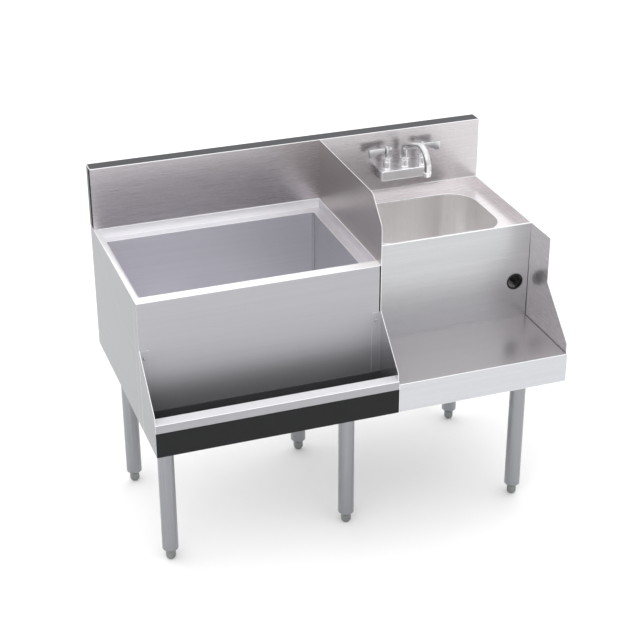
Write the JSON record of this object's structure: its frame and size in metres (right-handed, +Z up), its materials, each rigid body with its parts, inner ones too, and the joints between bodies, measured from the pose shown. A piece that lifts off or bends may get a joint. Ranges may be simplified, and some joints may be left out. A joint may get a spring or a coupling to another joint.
{
  "type": "bar sink with ice bin",
  "caption": "Stainless underbar station: insulated ice bin with a speed rail, divider, small hand sink with a wing-handle faucet and a stepped-down blender shelf, on tube legs.",
  "frame": {"origin": "on the floor, at the middle of the footprint", "axes": "+X along the front from the ice bin to the sink, +Y to the wall, +Z up"},
  "size_m": [1.067, 0.61, 0.9231],
  "materials": {
    "panel_steel": "satin polished stainless sheet, fine grain, blurry reflections",
    "liner_steel": "satin stainless, welded and polished corners",
    "rim_steel": "bright satin stainless",
    "divider_steel": "satin stainless, darker in the room's reflection",
    "bowl_steel": "satin drawn stainless",
    "leg_steel": "brushed stainless tube",
    "foot_metal": "cast and machined, matt grey",
    "channel_steel": "galvanised",
    "black_trim": "black, slightly pebbled",
    "grommet_rubber": "black, matt",
    "gasket_rubber": "dark grey, matt",
    "foam": "rigid foam, matt",
    "chrome_plate": "bright chrome plate",
    "brass_thread": "machined brass",
    "drain_steel": "stainless, satin",
    "screw_steel": "stainless, bright"
  },
  "bodies": {
    "cabinet": {"backsplash": "panel_steel", "rear_panel": "panel_steel", "bin_left_panel": "panel_steel", "bin_front_panel": "panel_steel", "bin_bottom_panel": "panel_steel", "divider_panel": "divider_steel", "bin_top_rim": "rim_steel", "bin_liner": "liner_steel", "bin_insulation": "foam", "bin_drain_body": "drain_steel", "bin_drain_strainer": "drain_steel", "bin_drain_locknut": "brass_thread", "sink_deck": "rim_steel", "sink_bowl": "bowl_steel", "sink_drain_body": "drain_steel", "sink_drain_gasket": "gasket_rubber", "sink_drain_locknut": "brass_thread", "sink_drain_grid": "drain_steel", "sink_tailpiece": "chrome_plate", "sink_front_wall": "panel_steel", "cord_grommet": "grommet_rubber", "right_side_panel": "panel_steel", "blender_shelf": "panel_steel", "leg_channel": "channel_steel", "rail_trough": "rim_steel", "rail_liner": "black_trim", "rail_front_cover": "black_trim", "rail_end_left": "panel_steel", "rail_end_right": "panel_steel", "rail_screws": "screw_steel", "leg_mount_plates": "channel_steel", "leg_plate_bolts": "screw_steel", "leg_front_left": "leg_steel", "leg_front_middle": "leg_steel", "leg_front_right": "leg_steel", "leg_rear_left": "leg_steel", "leg_rear_middle": "leg_steel", "leg_rear_right": "leg_steel", "leg_inserts": "foot_metal", "faucet_body": "chrome_plate", "faucet_shanks": "brass_thread", "faucet_shank_nuts": "brass_thread", "valve_bonnet_left": "chrome_plate", "valve_bonnet_right": "chrome_plate", "spout_nut": "chrome_plate"},
    "foot_front_left": {"foot_front_left": "foot_metal"},
    "foot_front_middle": {"foot_front_middle": "foot_metal"},
    "foot_front_right": {"foot_front_right": "foot_metal"},
    "foot_rear_left": {"foot_rear_left": "foot_metal"},
    "foot_rear_middle": {"foot_rear_middle": "foot_metal"},
    "foot_rear_right": {"foot_rear_right": "foot_metal"},
    "left_handle": {"valve_stem_left": "chrome_plate", "wing_handle_left": "chrome_plate", "handle_screw_left": "chrome_plate"},
    "right_handle": {"valve_stem_right": "chrome_plate", "wing_handle_right": "chrome_plate", "handle_screw_right": "chrome_plate"},
    "spout_arm": {"spout": "chrome_plate", "aerator": "chrome_plate"}
  },
  "joints": [
    {"name": "foot_front_left_screw", "type": "slide", "parent": "cabinet", "child": "foot_front_left", "axis": [0, 0, -1], "range_m": [0, 0.025]},
    {"name": "foot_front_middle_screw", "type": "slide", "parent": "cabinet", "child": "foot_front_middle", "axis": [0, 0, -1], "range_m": [0, 0.025]},
    {"name": "foot_front_right_screw", "type": "slide", "parent": "cabinet", "child": "foot_front_right", "axis": [0, 0, -1], "range_m": [0, 0.025]},
    {"name": "foot_rear_left_screw", "type": "slide", "parent": "cabinet", "child": "foot_rear_left", "axis": [0, 0, -1], "range_m": [0, 0.025]},
    {"name": "foot_rear_middle_screw", "type": "slide", "parent": "cabinet", "child": "foot_rear_middle", "axis": [0, 0, -1], "range_m": [0, 0.025]},
    {"name": "foot_rear_right_screw", "type": "slide", "parent": "cabinet", "child": "foot_rear_right", "axis": [0, 0, -1], "range_m": [0, 0.025]},
    {"name": "left_handle_turn", "type": "hinge", "parent": "cabinet", "child": "left_handle", "pos_m": [0.2542, 0.235, 0.87], "axis": [0, 0, 1], "range_deg": [0, 90]},
    {"name": "right_handle_turn", "type": "hinge", "parent": "cabinet", "child": "right_handle", "pos_m": [0.3558, 0.235, 0.87], "axis": [0, 0, -1], "range_deg": [0, 90]},
    {"name": "spout_swing", "type": "hinge", "parent": "cabinet", "child": "spout_arm", "pos_m": [0.305, 0.235, 0.84], "axis": [0, 0, 1], "range_deg": [-90, 90]}
  ]
}
